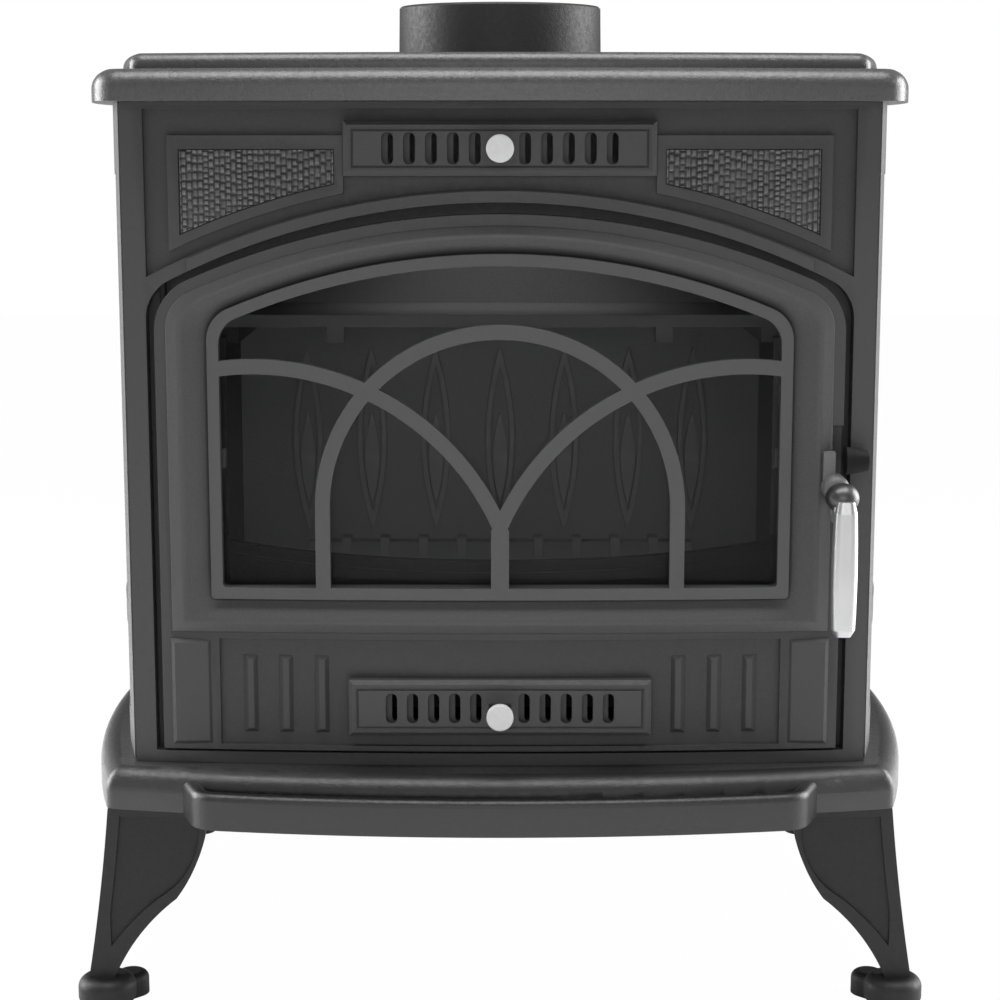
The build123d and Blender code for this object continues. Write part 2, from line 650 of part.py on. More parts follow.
def door_casting():
    """Arched door: sunk moulding round the window, lower panel with pilasters, bars and a vent."""
    front, back = -DOOR_PROUD, DOOR_T - DOOR_PROUD
    solid = relief(door_outline(), front, back)
    moulding = arched(MOULD_HALF_W, MOULD_BOTTOM, MOULD_TOP, MOULD_ARC_R, MOULD_CORNER_R)
    for step, depth in ((0.0, 1.6), (5.0, 3.2), (11.0, 4.4), (18.0, MOULD_RISE)):
        ring = arched(MOULD_HALF_W - step, MOULD_BOTTOM + step * 0.8, MOULD_TOP - step * 0.9,
                      MOULD_ARC_R - step, MOULD_CORNER_R - step / 2) if step else moulding
        solid = solid - relief(ring, front - 5, front + depth)
    panel = rect(DOOR_PANEL_HALF_W, DOOR_PANEL_Z0, DOOR_PANEL_Z1)
    floor = front + DOOR_PANEL_DEPTH
    solid = solid - relief(panel, front - 5, floor)
    bars = []
    for x in BAR_XS:
        bar = Pos(-x, 0) * rect(BAR_W / 2, BAR_Z0, BAR_Z1)
        bars += both_sides(bevelled(bar, floor, BAR_RISE))
    pillar = Pos(-(PILASTER_X0 + PILASTER_X1) / 2, 0) * rect((PILASTER_X1 - PILASTER_X0) / 2,
                                                          DOOR_PANEL_Z0, DOOR_PANEL_Z1)
    bars += both_sides(bevelled(pillar, front, PILASTER_RISE))
    solid = solid.fuse(*bars)
    middle = (LOWER_VENT_Z0 + LOWER_VENT_Z1) / 2
    pocket = box(-VENT_HALF_W, VENT_HALF_W, -40, LOWER_VENT_Y + VENT_DEPTH, LOWER_VENT_Z0, LOWER_VENT_Z1)
    air = box(-SLIDER_HALF_W + 6, SLIDER_HALF_W - 6, -40, 40, middle - SLOT_H / 2, middle + SLOT_H / 2)
    notch = box(NOTCH_X, DOOR_HALF_W + 5, -40, 40, NOTCH_Z0, NOTCH_Z1)
    notch = notch - relief(rect(DOOR_HALF_W, NOTCH_Z0, NOTCH_Z1), back - NOTCH_WEB, back)
    pins = [rod(-HINGE_X, HINGE_Y, sum(z) / 2, PIN_R + RUN_GAP, z[1] - z[0] + 2) for z in
            (HINGE_LOWER_Z, HINGE_UPPER_Z)]
    seat = box(-WINDOW_HALF_W - GLASS_LAP - 2, WINDOW_HALF_W + GLASS_LAP + 2, GLASS_Y - GASKET_T, 40,
               WINDOW_BOTTOM - GLASS_LAP - 2, WINDOW_TOP + GLASS_LAP + 2)
    seat = seat & upright(window(GLASS_LAP + 2), -40, 60)
    bore = rod(LATCH_X, BORE_END - 40 + RUN_GAP, LATCH_Z, SPINDLE_R + RUN_GAP, 80, "Y")
    boss = relief(Pos(LATCH_X - 2, LATCH_Z) * make_face(Circle(HUB_R - 1.5).wire()), front - 1, front + 1)
    groove = rope_ring(ROPE_R + SEAT_GAP)
    groove = relief(groove, back - ROPE_SUNK, back + 10)
    rim = upright(window(GLASS_LAP + 8) - window(), -20, GLASS_Y + GLASS_T)
    rim = rim & front_slab(front + MOULD_RISE + 1, 60, BODY_HALF_W, WINDOW_BOTTOM - 40, WINDOW_TOP + 40)
    solid = solid.fuse(boss, rim)
    return solid.cut(upright(window(), -40, 60), pocket, air, notch, seat, bore, groove, *pins)


def bevelled(face, floor, rise):
    """Raised block on the door's bowed face with sides that slope at 45 degrees."""
    x = abs(face.center().X)
    foot = Pos(0, front_y(x, floor), 0) * Rot(90, 0, 0) * face
    root = extrude(foot, BLOCK_ROOT, dir=(0, 1, 0))
    return root + extrude(foot, rise, dir=(0, -1, 0), taper=45)


def rope_ring(half_width):
    """Path of the door seal as a flat ring."""
    middle = OPEN_HALF_W - LEDGE_W + ROPE_R + 0.5
    drop = OPEN_HALF_W - middle
    def ring(grow):
        return arched(middle + grow, OPEN_BOTTOM + drop - grow, OPEN_TOP - drop + grow, OPEN_ARC_R - drop + grow,
                      OPEN_CORNER_R - drop / 2 + grow)
    return ring(half_width) - ring(-half_width)


def door_rope_seal():
    """Rope in its groove, just off the frame's ledge."""
    back = DOOR_T - DOOR_PROUD
    rope = relief(rope_ring(ROPE_R), back - ROPE_SUNK, LEDGE_DEPTH - SEAT_GAP)
    return rope


def arc_band(x, z, radius, width):
    outer = Pos(x, z) * make_face(Circle(radius + width / 2).wire())
    return outer - Pos(x, z) * make_face(Circle(radius - width / 2).wire())


def door_lattice():
    """Flat tracery: a round arch on two posts crossed by two side arcs that meet on a centre post."""
    border = window(LATTICE_BORDER, 3.0) - window()
    half = LATTICE_BAR / 2
    above = rect(WINDOW_HALF_W, BIG_ARCH_Z, WINDOW_TOP)
    arch = arc_band(0, BIG_ARCH_Z, BIG_ARCH_R, LATTICE_BAR) & above
    posts = [Pos(side * BIG_ARCH_R, 0) * rect(half, WINDOW_BOTTOM - 2, BIG_ARCH_Z) for side in (-1, 1)]
    stem = rect(LATTICE_POST / 2, WINDOW_BOTTOM - 2, CROTCH_Z)
    tracery = arch + posts[0] + posts[1] + stem
    for side in (-1, 1):
        band = arc_band(side * SIDE_ARC_X, SIDE_ARC_Z, SIDE_ARC_R, LATTICE_BAR)
        inner = 0.0
        outer = WINDOW_HALF_W + 2
        middle = side * (inner + outer) / 2
        keep = Pos(middle, 0) * rect((outer - inner) / 2, CROTCH_Z - 12, WINDOW_TOP)
        tracery = tracery + (band & keep)
    face = tracery + border
    front = MOULD_RISE - DOOR_PROUD - LATTICE_T
    flat = upright(face, -60, 60)
    slab = front_slab(front, front + LATTICE_T, BODY_HALF_W, WINDOW_BOTTOM - 20, WINDOW_TOP + 20)
    return flat & slab


def door_glass():
    return upright(window(GLASS_LAP), GLASS_Y, GLASS_Y + GLASS_T)


def glass_gasket():
    return upright(window(GLASS_LAP) - window(GLASS_LAP - GASKET_W), GLASS_Y - GASKET_T, GLASS_Y)


def clip_places():
    return [(x, z) for x in (-120.0, 120.0) for z in (WINDOW_BOTTOM - GLASS_LAP, )] + [
        (x, 400.0) for x in (-WINDOW_HALF_W - GLASS_LAP + 5, WINDOW_HALF_W + GLASS_LAP - 5)]


def glass_clips():
    """Straps that hold the glass in the door from behind, each screwed at its outer end."""
    straps = []
    y = GLASS_Y + GLASS_T
    for x, z in clip_places():
        across = z > WINDOW_BOTTOM
        long, tall = (CLIP_L, CLIP_W) if across else (CLIP_W, CLIP_L)
        straps.append(box(x - long / 2, x + long / 2, y, y + CLIP_T, z - tall / 2, z + tall / 2))
    return group(straps)


def clip_screws():
    y = GLASS_Y + GLASS_T + CLIP_T
    heads = []
    for x, z in clip_places():
        dx = math.copysign(CLIP_L / 4 + 1, x) if z > WINDOW_BOTTOM else 0
        dz = 0 if z > WINDOW_BOTTOM else -CLIP_L / 4 - 1
        heads.append(rod(x + dx, y + 1.25, z + dz, 4, 2.5, "Y"))
    return group(heads)


def hinge_pin(span):
    low, high = span
    return rod(-HINGE_X, HINGE_Y, (low + high) / 2, PIN_R, high - low)


def latch_spindle():
    """Shaft that turns in a blind bore in the door's stile."""
    low = HUB_FACE - HUB_L / 2
    return rod(LATCH_X, (low + SPINDLE_END) / 2, LATCH_Z, SPINDLE_R, SPINDLE_END - low, "Y")


def latch_hub():
    """Domed hub with the tongue that stands beside the keeper, and the neck of the grip."""
    back = HUB_FACE - 2.0
    dome = rod(LATCH_X, back - HUB_L / 2, LATCH_Z, HUB_R, HUB_L, "Y")
    dome = fillet(dome.edges().filter_by(GeomType.CIRCLE).sort_by(Axis.Y)[0], 6)
    tongue = box(LATCH_X - TAB_W, LATCH_X, back - 8, back - 2, LATCH_Z, TAB_TOP)
    tongue = tongue + box(LATCH_X - TAB_W, LATCH_X, back - 8, back + 1, TAB_TOP - 6, TAB_TOP)
    neck = box(LATCH_X - 5, LATCH_X + 7, back - HUB_L, back - HUB_L + 9, LATCH_Z - 18, LATCH_Z)
    bore = rod(LATCH_X, back, LATCH_Z, SPINDLE_R, HUB_L, "Y")
    return (dome + tongue + neck) - bore


def handle_grip():
    """Bright slightly swollen grip that hangs from the hub's neck."""
    x = LATCH_X + 4
    y = HUB_FACE - GRIP_BACK - GRIP_T / 2
    def section(z, w, t):
        return Pos(x, y, z) * make_face(RectangleRounded(w, t, t * 0.42).wire())
    top, end = GRIP_Z1, GRIP_Z0
    low = loft([section(end, GRIP_W - 6, GRIP_T - 7), section(end + 5, GRIP_W - 0.5, GRIP_T - 1)])
    mid = loft([section(end + 5, GRIP_W - 0.5, GRIP_T - 1), section((top + end) / 2, GRIP_W + 1, GRIP_T),
                section(top - 8, GRIP_W - 1, GRIP_T - 1)])
    cap = loft([section(top - 8, GRIP_W - 1, GRIP_T - 1), section(top, GRIP_W - 5, GRIP_T - 5)])
    shank = box(LATCH_X - 4, LATCH_X + 6, y, HUB_FACE - 2.0 - HUB_L, top - 16, top - 4)
    return join([low, mid, cap, shank])


def latch_keeper():
    """Tapered keeper on a bracket from the face of the frame's right stile."""
    length = KEEPER_X1 - KEEPER_X0
    y = front_y(KEEPER_X1) - KEEPER_R0 - 1.5
    cone = Pos((KEEPER_X0 + KEEPER_X1) / 2, y, KEEPER_Z) * Rot(0, 90, 0) * Cone(KEEPER_R0, KEEPER_R1, length)
    foot = box(KEEPER_X1 - 8, KEEPER_X1, y, front_y(KEEPER_X1), KEEPER_Z - 5, KEEPER_Z + 5)
    foot = foot - front_slab(0, 30, BODY_HALF_W, KEEPER_Z - 20, KEEPER_Z + 20)
    return cone + foot


def leaf(x, half_w, z0, z1):
    """Pointed leaf outline."""
    middle = z0 + (z1 - z0) * 0.4
    return make_face(Wire([
        Spline((x, z0), (x - half_w, middle), (x, z1)),
        Spline((x, z1), (x + half_w, middle), (x, z0)),
    ]))


def back_liner():
    """Cast back of the firebox with a row of nested leaf ribs and a ledge with holes at its foot."""
    y = BACK_LINER_Y
    slab = box(-SIDE_LINER_X - LINER_T, SIDE_LINER_X + LINER_T, y, y + LINER_T, FLOOR_Z + FLOOR_T, LINER_TOP)
    ribs = []
    for k in range(RIB_PAIRS):
        x = (k - (RIB_PAIRS - 1) / 2) * RIB_PITCH
        outer = leaf(x, RIB_HALF_W, RIB_Z0, RIB_Z1) - leaf(x, RIB_HALF_W - 4, RIB_Z0 + 16, RIB_Z1 - 16)
        inner = leaf(x, RIB_HALF_W / 2, RIB_Z0 + 24, RIB_Z1 - 56)
        ribs += [upright(outer, y - 5, y + 1), upright(inner, y - 3, y + 1)]
    ledge = box(-RIB_PITCH * 3, RIB_PITCH * 3, y - 14, y + 1, FLOOR_Z + FLOOR_T, FLOOR_Z + FLOOR_T + 20)
    bars = [box(x - 4, x + 4, y - 17, y, FLOOR_Z + FLOOR_T, FLOOR_Z + FLOOR_T + 24)
            for x in [(k - 4) * 33.0 for k in range(9)]]
    return slab.fuse(*ribs, ledge, *bars)


def side_liner():
    """Right side of the firebox, with a shelf for the baffle and an upright rib at its front."""
    y1 = BACK_LINER_Y - SEAT_GAP
    slab = box(SIDE_LINER_X, SIDE_LINER_X + LINER_T, LINER_Y0, y1, FLOOR_Z + FLOOR_T, LINER_TOP)
    shelf = box(SIDE_LINER_X - 14, SIDE_LINER_X + 1, BAFFLE_FRONT_Y, y1, BAFFLE_Z - SHELF_H, BAFFLE_Z)
    ribs = [box(SIDE_LINER_X - 5, SIDE_LINER_X + 1, y, y + 8, FLOOR_Z + 62, LINER_TOP - 90)
            for y in (LINER_Y0 + 20, LINER_Y0 + 90, LINER_Y0 + 160)]
    return slab.fuse(shelf, *ribs)


def baffle():
    """Loose plate over the fire, with two hooks under its front edge."""
    half_w = SIDE_LINER_X - SEAT_GAP
    slab = box(-half_w, half_w, BAFFLE_FRONT_Y, BACK_LINER_Y - SEAT_GAP, BAFFLE_Z, BAFFLE_Z + BAFFLE_T)
    hooks = [box(x - 7, x + 7, BAFFLE_FRONT_Y, BAFFLE_FRONT_Y + 10, BAFFLE_Z - 12, BAFFLE_Z + 1) for x in (-131, 131)]
    return slab.fuse(*hooks)


def firebox_floor():
    slab = box(-FLOOR_HALF_W, FLOOR_HALF_W, FIRE_FRONT_Y, BODY_D - PANEL_T, FLOOR_Z, FLOOR_Z + FLOOR_T)
    low, high = GRATE_Y
    hole = box(-GRATE_HALF_W, GRATE_HALF_W, low, high, FLOOR_Z - 1, FLOOR_Z + FLOOR_T + 1)
    r = GRATE_REBATE
    rebate = box(-GRATE_HALF_W - r, GRATE_HALF_W + r, low - r, high + r, FLOOR_Z + FLOOR_T - r, FLOOR_Z + FLOOR_T + 1)
    return slab.cut(hole, rebate)


def grate():
    """Slotted grate in the rebate of the firebox floor."""
    low, high = GRATE_Y
    r = GRATE_REBATE - SEAT_GAP
    half_w = GRATE_HALF_W + r
    slab = box(-half_w, half_w, low - r, high + r, FLOOR_Z + FLOOR_T - GRATE_REBATE, FLOOR_Z + FLOOR_T)
    pitch = 2 * GRATE_HALF_W / GRATE_BARS
    gaps = [box(x - pitch * 0.3, x + pitch * 0.3, low + 10, high - 10, FLOOR_Z, FLOOR_Z + FLOOR_T + 1)
            for x in [(k - (GRATE_BARS - 1) / 2) * pitch for k in range(GRATE_BARS)]]
    return slab.cut(*gaps)


def log_guard():
    """Bowed fence in front of the fire, stepped in three along its top."""
    steps = ((0.0, GUARD_TOP - 16, 0.0), (-2.0, GUARD_TOP - 8, 2.0), (0.0, GUARD_TOP, 0.0))
    z0 = FLOOR_Z + FLOOR_T
    bands = []
    for out, z1, back in steps:
        face = make_face(Wire([
            ThreePointArc((-GUARD_HALF_W, GUARD_Y + GUARD_SAG + out), (0, GUARD_Y + out),
                          (GUARD_HALF_W, GUARD_Y + GUARD_SAG + out)),
            Line((GUARD_HALF_W, GUARD_Y + GUARD_SAG + out), (GUARD_HALF_W, GUARD_Y + GUARD_SAG + GUARD_T + back)),
            ThreePointArc((GUARD_HALF_W, GUARD_Y + GUARD_SAG + GUARD_T + back), (0, GUARD_Y + GUARD_T + back),
                          (-GUARD_HALF_W, GUARD_Y + GUARD_SAG + GUARD_T + back)),
            Line((-GUARD_HALF_W, GUARD_Y + GUARD_SAG + GUARD_T + back), (-GUARD_HALF_W, GUARD_Y + GUARD_SAG + out)),
        ]))
        bands.append(plate(face, z0, z1 - z0))
        z0 = z1
    return join(bands)


def ash_box_walls():
    """Two walls that carry the firebox floor, each with a rail for the ash pan."""
    x = PAN_HALF_W + 2 * SEAT_GAP
    wall = box(x, x + WALL_T, FIRE_FRONT_Y + 2, PAN_Y0 + PAN_D + 20, BASE_TOP, FLOOR_Z)
    rail = box(x - RAIL_W, x + 1, FIRE_FRONT_Y + 2, PAN_Y0 + PAN_D + 20, BASE_TOP, PAN_Z0 - SEAT_GAP)
    return group(both_sides(wall + rail))


def ash_pan():
    """Folded tray with a pull at its front."""
    z1 = PAN_Z0 + PAN_H
    tray = box(-PAN_HALF_W, PAN_HALF_W, PAN_Y0, PAN_Y0 + PAN_D, PAN_Z0, z1)
    inside = box(-PAN_HALF_W + PAN_WALL, PAN_HALF_W - PAN_WALL, PAN_Y0 + PAN_WALL, PAN_Y0 + PAN_D - PAN_WALL,
                 PAN_Z0 + PAN_WALL, z1 + 1)
    pull = box(-30, 30, PAN_Y0 - 8, PAN_Y0 + 1, z1 - 12, z1 - 9)
    return (tray - inside) + pull


def tie_rods():
    """Four long rods that clamp the walls between the base and the top plate, with nuts below."""
    rods = []
    deck = BASE_TOP - BASE_DECK
    for x in (-ROD_X, ROD_X):
        for y in ROD_Y:
            low, high = deck - NUT_T - 3, BODY_TOP + TOP_T / 2
            shaft = rod(x, y, (low + high) / 2, ROD_R, high - low)
            nut = plate(Pos(x, y) * make_face(RegularPolygon(NUT_R, 6).wire()), deck - NUT_T, NUT_T)
            rods.append(shaft + nut)
    return group(rods)


def leg_bolts():
    """One bolt through each leg's lug into the base."""
    bolts = []
    for x in (-LEG_BOLT_X, LEG_BOLT_X):
        for y in LEG_BOLT_Y:
            low = LEG_H - LUG_T
            head = plate(Pos(x, y) * make_face(RegularPolygon(6, 6).wire()), low - 4, 4)
            bolts.append(head)
    return group(bolts)


def build_all():
    os.makedirs("parts", exist_ok=True)
    for side, name in ((-1, "left"), (1, "right")):
        save(leg(side, -1), f"leg_front_{name}")
        save(leg(side, 1), f"leg_rear_{name}")
    save(base_plate(), "base_plate")
    save(ash_lip(), "ash_lip")
    save(front_frame(), "front_frame")
    save(side_panel(), "side_panel_right")
    save(mirror_x(side_panel()), "side_panel_left")
    save(back_panel(), "back_panel")
    save(top_plate(), "top_plate")
    save(flue_collar(), "flue_collar")
    save(collar_bolts(), "collar_bolts")
    save(vent_plate(UPPER_VENT_Z0, UPPER_VENT_Z1, UPPER_VENT_Y), "upper_vent_plate")
    save(vent_plate(LOWER_VENT_Z0, LOWER_VENT_Z1, LOWER_VENT_Y), "lower_vent_plate")
    save(air_slider(UPPER_VENT_Z0, UPPER_VENT_Z1, UPPER_VENT_Y), "upper_air_slider")
    save(air_slider(LOWER_VENT_Z0, LOWER_VENT_Z1, LOWER_VENT_Y), "lower_air_slider")
    save(air_knob(UPPER_VENT_Z0, UPPER_VENT_Z1, UPPER_VENT_Y), "upper_air_knob")
    save(air_knob(LOWER_VENT_Z0, LOWER_VENT_Z1, LOWER_VENT_Y), "lower_air_knob")
    save(door_casting(), "door_casting")
    save(door_lattice(), "door_lattice")
    save(door_glass(), "door_glass")
    save(glass_gasket(), "glass_gasket")
    save(glass_clips(), "glass_clips")
    save(clip_screws(), "clip_screws")
    save(door_rope_seal(), "door_rope_seal")
    save(hinge_pin(HINGE_LOWER_Z), "hinge_pin_lower")
    save(hinge_pin(HINGE_UPPER_Z), "hinge_pin_upper")
    save(latch_spindle(), "latch_spindle")
    save(latch_hub(), "latch_hub")
    save(handle_grip(), "handle_grip")
    save(latch_keeper(), "latch_keeper")
    save(back_liner(), "back_liner")
    save(side_liner(), "side_liner_right")
    save(mirror_x(side_liner()), "side_liner_left")
    save(baffle(), "baffle")
    save(firebox_floor(), "firebox_floor")
    save(grate(), "grate")
    save(log_guard(), "log_guard")
    save(ash_box_walls(), "ash_box_walls")
    save(ash_pan(), "ash_pan")
    save(tie_rods(), "tie_rods")
    save(leg_bolts(), "leg_bolts")


if __name__ == "__main__":
    build_all()
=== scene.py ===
import json
import math
import random

import bpy
from mathutils import Euler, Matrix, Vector


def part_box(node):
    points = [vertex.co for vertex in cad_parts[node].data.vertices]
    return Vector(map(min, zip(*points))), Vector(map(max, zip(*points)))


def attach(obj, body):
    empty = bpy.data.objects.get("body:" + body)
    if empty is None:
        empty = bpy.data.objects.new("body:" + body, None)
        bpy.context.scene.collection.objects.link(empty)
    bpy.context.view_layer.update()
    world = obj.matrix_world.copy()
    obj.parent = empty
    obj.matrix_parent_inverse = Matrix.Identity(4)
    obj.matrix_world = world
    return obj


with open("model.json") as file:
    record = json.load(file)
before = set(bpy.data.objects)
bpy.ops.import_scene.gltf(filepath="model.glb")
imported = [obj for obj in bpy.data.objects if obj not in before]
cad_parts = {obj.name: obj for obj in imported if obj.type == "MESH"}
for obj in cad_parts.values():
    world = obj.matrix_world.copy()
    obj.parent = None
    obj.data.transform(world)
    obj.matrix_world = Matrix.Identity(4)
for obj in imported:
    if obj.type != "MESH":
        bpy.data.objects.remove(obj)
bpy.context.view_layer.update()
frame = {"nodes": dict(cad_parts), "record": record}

NODES = frame["nodes"]

# The drawing frame of the stove has the front corners of its body at y = 0, in millimetres
MM = 0.001
FRAME_LOW, FRAME_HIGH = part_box("front_frame")
BODY_HALF_W = FRAME_HIGH.x / MM
FRONT_R = 3000.0
FRONT_SAG = FRONT_R - math.sqrt(FRONT_R ** 2 - BODY_HALF_W ** 2)
BEAD_RISE = 3.0
FRONT_Y = FRAME_LOW.y / MM + FRONT_SAG + BEAD_RISE

# Camera
CAMERA_DISTANCE = 1550.0
CAMERA_HEIGHT = 628.0
CAMERA_PITCH = 9.42
CAMERA_LENS = 79.2

# Spandrel panels
INSET_HALF_W = 223.4
INSET_IN = 115.6
INSET_TOP = 617.9
INSET_ARC_TOP = 607.1
INSET_ARC_R = 550.0
INSET_FLOOR = 3.5
WEAVE_PITCH = 3.9
WEAVE_ROW = 5.0
WEAVE_RISE = 2.8
WEAVE_STEP = 0.55
WEAVE_ROWS = 130
WEAVE_DASHES = 97
WEAVE_FOOT = 0.25
WEAVE_BACK = 0.05

# Door moulding: outer outline on the door's face, inner outline at the tracery and depth between them
MOULD = {"half_w": 235.7, "bottom": 276.0, "top": 566.0, "arc_r": 537.0, "corner_r": 28.0}
WINDOW_EDGE = {"half_w": 206.7, "bottom": 300.3, "top": 546.7, "arc_r": 493.7, "corner_r": 24.0}
DOOR_FACE = -2.0
MOULD_DEPTH = 4.9
MOULD_LIFT = 0.05
MOULD_HEM = (0.3, 0.35)
# Share of the way inwards, and share of the depth; a negative depth stands proud of the door
MOULD_PROFILE = (
    (0.0, 0.0), (0.04, -0.08), (0.27, -0.78), (0.31, -0.84), (0.36, -0.82),
    (0.46, -0.5), (0.60, -0.05), (0.76, 0.40), (0.90, 0.78), (1.0, 1.0),
)

# Latch knuckle: radii, and place of its middle from the grip's middle, the hub's front and the grip's top
KNUCKLE_RADII = (12.0, 12.0, 10.5)
KNUCKLE_SHIFT = (-1.0, -4.0, 1.0)
KNUCKLE_RINGS = 15
KNUCKLE_COLUMNS = 40

# Knob: depth of its bright face. Trough of the ash lip: half width and top of the shade behind it, in metres
KNOB_FACE = 0.0054
TROUGH = (0.215, 0.170)

# Studio
FLOOR_REACH = 6.0
FLOOR_WHITE = 0.985
WORLD_LEVEL = 0.19


def front_y(x, back=0.0):
    """Place of the bowed front at x, in the saved frame, moved back by an offset."""
    return FRONT_Y + FRONT_R - FRONT_SAG - math.sqrt((FRONT_R - back) ** 2 - x ** 2)


class Nodes:
    """Short hand for building a node tree."""

    def __init__(self, name):
        self.material = bpy.data.materials.new(name)
        self.material.use_nodes = True
        self.tree = self.material.node_tree
        self.tree.nodes.clear()
        self.out = self.add("ShaderNodeOutputMaterial")
        self.coord = self.add("ShaderNodeTexCoord")

    def add(self, kind, inputs=None, **settings):
        node = self.tree.nodes.new(kind)
        for key, value in settings.items():
            setattr(node, key, value)
        for key, value in (inputs or {}).items():
            if isinstance(value, bpy.types.NodeSocket):
                self.tree.links.new(value, node.inputs[key])
            else:
                node.inputs[key].default_value = value
        return node

    def noise(self, scale, detail=2.0, roughness=0.5):
        inputs = {"Vector": self.coord.outputs["Object"], "Scale": scale, "Detail": detail,
                  "Roughness": roughness}
        return self.add("ShaderNodeTexNoise", inputs).outputs["Fac"]

    def place(self):
        return self.add("ShaderNodeSeparateXYZ", {"Vector": self.coord.outputs["Object"]}).outputs

    def product(self, a, b):
        return self.add("ShaderNodeMath", {0: a, 1: b}, operation="MULTIPLY").outputs[0]

    def ramp(self, value, low, high, dark, light):
        node = self.add("ShaderNodeMapRange", {"Value": value, "From Min": low, "From Max": high,
                                               "To Min": dark, "To Max": light})
        return node.outputs["Result"]

    def mix(self, factor, a, b):
        node = self.add("ShaderNodeMix", {0: factor}, data_type="RGBA")
        for index, value in ((6, a), (7, b)):
            if isinstance(value, bpy.types.NodeSocket):
                self.tree.links.new(value, node.inputs[index])
            else:
                node.inputs[index].default_value = (*value, 1.0)
        return node.outputs[2]

    def surface(self, shader):
        self.tree.links.new(shader, self.out.inputs["Surface"])
        return self.material


def grey(level):
    return (level, level, level * 1.01)


def iron(name, level, grain=1.0, roughness=0.62, edge=1.35, tone=0.12, upward_shade=1.0,
         shine=0.42, shadow=None):
    """Painted cast iron: fine sand grain, faint clouding, a painted highlight on sharp edges, painted shade on
    level faces.

    shadow is the half width and the top, in metres, of a dark patch low on the front.
    """
    n = Nodes(name)
    fine = n.noise(900.0, 3.0, 0.6)
    coarse = n.noise(260.0, 2.0)
    cloud = n.noise(7.0, 3.0)
    speck = n.mix(n.ramp(fine, 0.42, 0.66, 0.0, 1.0), grey(level * (1 - tone)), grey(level * (1 + tone)))
    clouded = n.mix(n.ramp(cloud, 0.35, 0.65, 0.0, 0.35), speck, grey(level * 1.12))
    shape = n.add("ShaderNodeNewGeometry")
    upward = n.add("ShaderNodeSeparateXYZ", {"Vector": shape.outputs["Normal"]}).outputs[2]
    # Painted shade: faces that look upwards are darkened by the upward shade factor.
    clouded = n.mix(n.ramp(upward, 0.75, 0.98, 0.0, 1.0), clouded, grey(level * upward_shade))
    if shadow:
        half_w, level_z = shadow
        place = n.place()
        across = n.add("ShaderNodeMath", {0: place[0]}, operation="ABSOLUTE").outputs[0]
        inside = n.ramp(across, half_w - 0.004, half_w + 0.004, 1.0, 0.0)
        below = n.ramp(place[2], level_z - 0.004, level_z + 0.002, 1.0, 0.0)
        clouded = n.mix(n.product(inside, below), clouded, grey(level * 0.15))
    # Painted highlight: sharp convex edges, found by pointiness, are painted lighter by the edge factor.
    edge_highlight = shape.outputs["Pointiness"]
    colour = n.mix(n.ramp(edge_highlight, 0.51, 0.56, 0.0, 0.8), clouded, grey(level * edge))
    height = n.add("ShaderNodeMath", {0: fine, 1: coarse}, operation="ADD").outputs[0]
    rounded = n.add("ShaderNodeBevel", {"Radius": 0.0009}, samples=4).outputs[0]
    bump = n.add("ShaderNodeBump", {"Strength": 0.32 * grain, "Distance": 0.0006, "Height": height,
                                    "Normal": rounded}).outputs[0]
    rough = n.ramp(coarse, 0.3, 0.7, roughness - 0.06, roughness + 0.07)
    shader = n.add("ShaderNodeBsdfPrincipled", {"Base Color": colour, "Roughness": rough, "Normal": bump,
                                                "Metallic": 0.0, "Specular IOR Level": shine})
    return n.surface(shader.outputs[0])


def satin_metal(name, level, stretch=(1.0, 1.0, 0.05), roughness=0.34):
    """Satin plated metal with fine drawn lines."""
    n = Nodes(name)
    mapped = n.add("ShaderNodeMapping", {"Vector": n.coord.outputs["Object"], "Scale": stretch}).outputs[0]
    lines = n.add("ShaderNodeTexNoise", {"Vector": mapped, "Scale": 2400.0, "Detail": 2.0}).outputs["Fac"]
    patch = n.noise(60.0, 3.0)
    colour = n.mix(n.ramp(patch, 0.3, 0.7, 0.0, 1.0), grey(level * 0.93), grey(level))
    bump = n.add("ShaderNodeBump", {"Strength": 0.12, "Distance": 0.0002, "Height": lines}).outputs[0]
    rough = n.ramp(lines, 0.3, 0.7, roughness - 0.05, roughness + 0.06)
    shader = n.add("ShaderNodeBsdfPrincipled", {"Base Color": colour, "Roughness": rough, "Normal": bump,
                                                "Metallic": 0.85})
    return n.surface(shader.outputs[0])


def knob_metal(name, node):
    """Knob with a bright turned face and a dark stem behind it."""
    n = Nodes(name)
    low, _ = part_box(node)
    behind = n.ramp(n.place()[1], low.y + KNOB_FACE - 0.0002, low.y + KNOB_FACE + 0.0002, 0.0, 1.0)
    patch = n.noise(300.0, 2.0)
    bright = n.mix(patch, grey(0.60), grey(0.72))
    colour = n.mix(behind, bright, grey(0.035))
    rough = n.ramp(patch, 0.3, 0.7, 0.42, 0.55)
    bump = n.add("ShaderNodeBump", {"Strength": 0.1, "Distance": 0.0002, "Height": patch}).outputs[0]
    shader = n.add("ShaderNodeBsdfPrincipled", {"Base Color": colour, "Roughness": rough, "Normal": bump,
                                                "Metallic": 0.0})
    return n.surface(shader.outputs[0])


def rope_cloth(name):
    """Glass fibre rope with slanting strands."""
    n = Nodes(name)
    wave = n.add("ShaderNodeTexWave", {"Vector": n.coord.outputs["Object"], "Scale": 170.0, "Distortion": 1.5},
                 bands_direction="DIAGONAL").outputs["Fac"]
    fuzz = n.noise(1500.0, 2.0)
    colour = n.mix(wave, grey(0.10), grey(0.20))
    bump = n.add("ShaderNodeBump", {"Strength": 0.6, "Distance": 0.0008, "Height": wave}).outputs[0]
    rough = n.ramp(fuzz, 0.3, 0.7, 0.85, 0.98)
    shader = n.add("ShaderNodeBsdfPrincipled", {"Base Color": colour, "Roughness": rough, "Normal": bump})
    return n.surface(shader.outputs[0])


